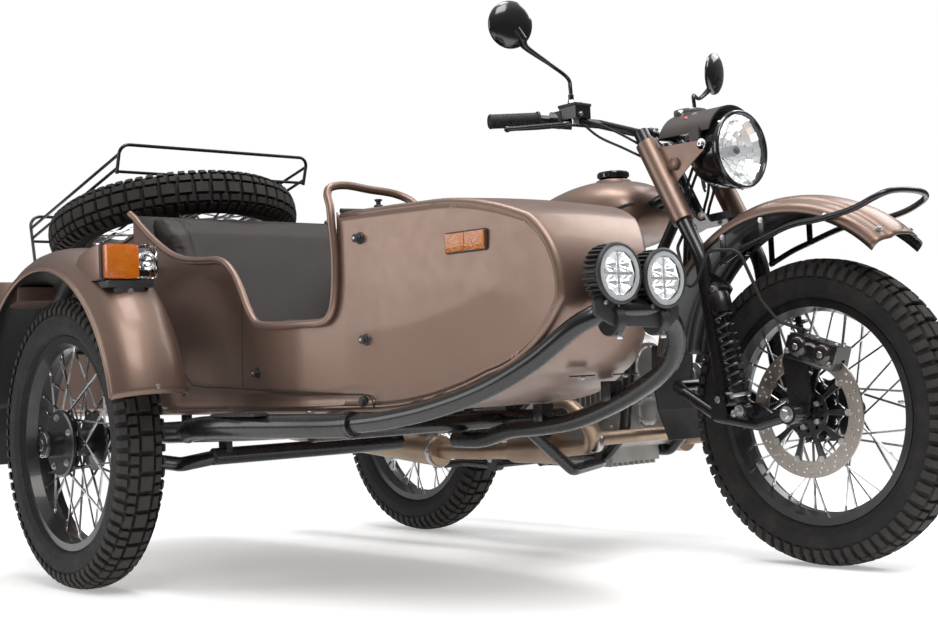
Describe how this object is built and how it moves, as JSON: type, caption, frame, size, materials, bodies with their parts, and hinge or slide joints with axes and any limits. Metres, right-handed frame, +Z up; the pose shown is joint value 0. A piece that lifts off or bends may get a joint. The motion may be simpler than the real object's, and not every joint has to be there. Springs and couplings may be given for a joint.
{
  "type": "sidecar motorcycle",
  "caption": "Flat-twin motorcycle with leading-link fork and shaft drive, an open passenger sidecar on its right, wire wheels, and a spare wheel and rack on the luggage lid",
  "frame": {"origin": "on the ground under the middle of the vehicle's bounding box", "axes": "+X forward, +Y to the rider's left, +Z up; the sidecar is on the -Y side"},
  "size_m": [2.4135, 1.7708, 1.3648],
  "materials": {
    "bronze_paint": "satin metallic bronze-brown",
    "black_paint": "satin black powder coat",
    "silver_wire": "black rim, bright spokes, cast hub",
    "tyre_rubber": "dusty black with open lugs",
    "rotor_steel": "ground steel, satin",
    "chrome_trim": "polished",
    "clear_glass": "clear lens",
    "black_plastic": "matt",
    "cast_alloy": "dark cast alloy, matt",
    "heat_tinted_steel": "straw to brown heat tint",
    "vinyl": "dark brown-grey grained vinyl",
    "amber_plastic": "clear and amber lenses"
  },
  "bodies": {
    "chassis": {"frame": "black_paint", "engine_block": "cast_alloy", "cylinders": "cast_alloy", "intakes": "black_plastic", "exhaust": "heat_tinted_steel", "final_drive": "cast_alloy", "swingarm": "black_paint", "rear_shocks": "black_paint", "rear_mudguard": "bronze_paint", "tank": "bronze_paint", "saddle": "vinyl", "side_covers": "bronze_paint", "foot_controls": "black_paint", "sidecar_body": "bronze_paint", "sidecar_sides": "bronze_paint", "sidecar_nose": "bronze_paint", "cockpit_trim": "bronze_paint", "sidecar_seat": "vinyl", "sidecar_chassis": "black_paint", "sidecar_swingarm": "black_paint", "sidecar_mudguard": "bronze_paint", "crash_bar": "black_paint", "twin_lamps": "black_plastic", "marker_lamps": "amber_plastic"},
    "fork_assembly": {"fork": "black_paint", "fork_covers": "bronze_paint", "leading_link": "black_paint", "brake_hose": "tyre_rubber", "front_shocks": "black_paint", "headlamp": "chrome_trim", "headlamp_lens": "clear_glass", "gauge_cowl": "black_plastic", "handlebar": "black_paint", "mirrors": "black_plastic", "front_mudguard": "bronze_paint"},
    "front_wheel_set": {"front_wheel": "silver_wire", "front_tyre": "tyre_rubber", "front_disc": "rotor_steel"},
    "rear_wheel_set": {"rear_wheel": "silver_wire", "rear_tyre": "tyre_rubber"},
    "sidecar_wheel_set": {"sidecar_wheel": "silver_wire", "sidecar_tyre": "tyre_rubber"},
    "stand": {"centre_stand": "black_paint"},
    "lid": {"luggage_lid": "bronze_paint", "luggage_rack": "black_paint", "spare_wheel": "silver_wire", "spare_tyre": "tyre_rubber"}
  },
  "joints": [
    {"name": "steering", "type": "hinge", "parent": "chassis", "child": "fork_assembly", "pos_m": [0.40875, 0.43962, 1.009], "axis": [-0.4695, 0, 0.8829], "range_deg": [-35, 35]},
    {"name": "front_wheel_spin", "type": "hinge", "parent": "fork_assembly", "child": "front_wheel_set", "pos_m": [0.85675, 0.43962, 0.35], "axis": [0, 1, 0], "continuous": true},
    {"name": "rear_wheel_spin", "type": "hinge", "parent": "chassis", "child": "rear_wheel_set", "pos_m": [-0.64325, 0.43962, 0.35], "axis": [0, 1, 0], "continuous": true},
    {"name": "sidecar_wheel_spin", "type": "hinge", "parent": "chassis", "child": "sidecar_wheel_set", "pos_m": [-0.39825, -0.78538, 0.35], "axis": [0, 1, 0], "continuous": true},
    {"name": "centre_stand_pivot", "type": "hinge", "parent": "chassis", "child": "stand", "pos_m": [-0.19125, 0.43962, 0.212], "axis": [0, -1, 0], "range_deg": [0, 100], "stiffness_Nm_per_rad": 4, "springref_deg": -74.48},
    {"name": "luggage_lid_hinge", "type": "hinge", "parent": "chassis", "child": "lid", "pos_m": [-1.19774, -0.28537, 0.72068], "axis": [0, -1, 0], "range_deg": [0, 60]}
  ]
}
